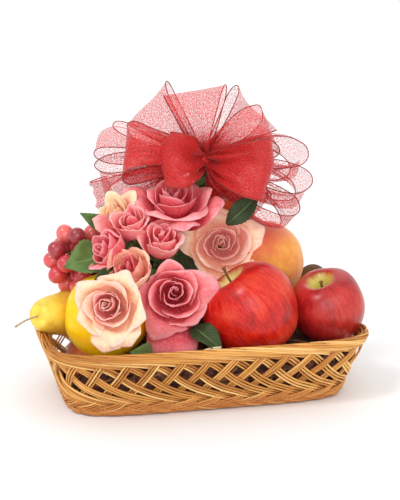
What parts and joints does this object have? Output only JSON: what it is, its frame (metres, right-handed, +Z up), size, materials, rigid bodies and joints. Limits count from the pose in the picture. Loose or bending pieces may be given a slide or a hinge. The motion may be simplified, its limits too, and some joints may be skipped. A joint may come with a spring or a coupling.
{
  "type": "fruit gift basket",
  "caption": "Oblong open-weave wicker tray filled with fruit, fabric roses and a tall sheer ribbon bow, resting on a flat underside.",
  "frame": {"origin": "middle of the tray's flat underside", "axes": "+X along the tray's length to its right, -Y to its front, +Z up; the underside faces -Z"},
  "size_m": [0.3185, 0.1977, 0.2803],
  "materials": {
    "wicker": "satin",
    "red_skin": "waxed fruit skin",
    "crimson_skin": "waxed fruit skin",
    "yellow_skin": "smooth fruit skin",
    "pear_skin": "smooth fruit skin",
    "peach_skin": "velvety fruit skin",
    "orange_skin": "dimpled fruit skin",
    "kiwi_skin": "fuzzy fruit skin",
    "grape_skin": "smooth translucent fruit skin",
    "pink_petal": "satin cloth petals",
    "cream_petal": "satin cloth petals",
    "green_leaf": "matte cloth leaf",
    "ribbon": "sheer woven ribbon with a wire in each edge",
    "wood": "matte",
    "packing": "shredded",
    "foam": "matte foam",
    "tissue": "matte"
  },
  "bodies": {
    "root": {"basket": "wicker", "front_apple": "red_skin", "right_apple": "crimson_skin", "low_apple": "red_skin", "yellow_mango": "yellow_skin", "pear": "pear_skin", "peach": "peach_skin", "orange": "orange_skin", "kiwi": "kiwi_skin", "grapes": "grape_skin", "packing_bed": "packing", "flower_foam": "foam", "orange_pick": "wood", "bow_stake": "wood", "bow": "ribbon", "rose_1_top": "pink_petal", "rose_2_back_left": "cream_petal", "rose_3_small": "pink_petal", "rose_4_bud": "pink_petal", "rose_5_right": "cream_petal", "rose_6_left": "pink_petal", "rose_7_mid_left": "pink_petal", "rose_8_front": "pink_petal", "rose_9_low_left": "cream_petal", "leaf_upper_right": "green_leaf", "leaf_upper_left": "green_leaf", "leaf_left": "green_leaf", "leaf_low_left": "green_leaf", "leaf_middle": "green_leaf", "leaf_front": "green_leaf", "leaf_back_1": "green_leaf", "leaf_back_2": "green_leaf", "leaf_back_3": "green_leaf", "leaf_back_4": "green_leaf", "tissue_corner": "tissue"}
  },
  "joints": []
}
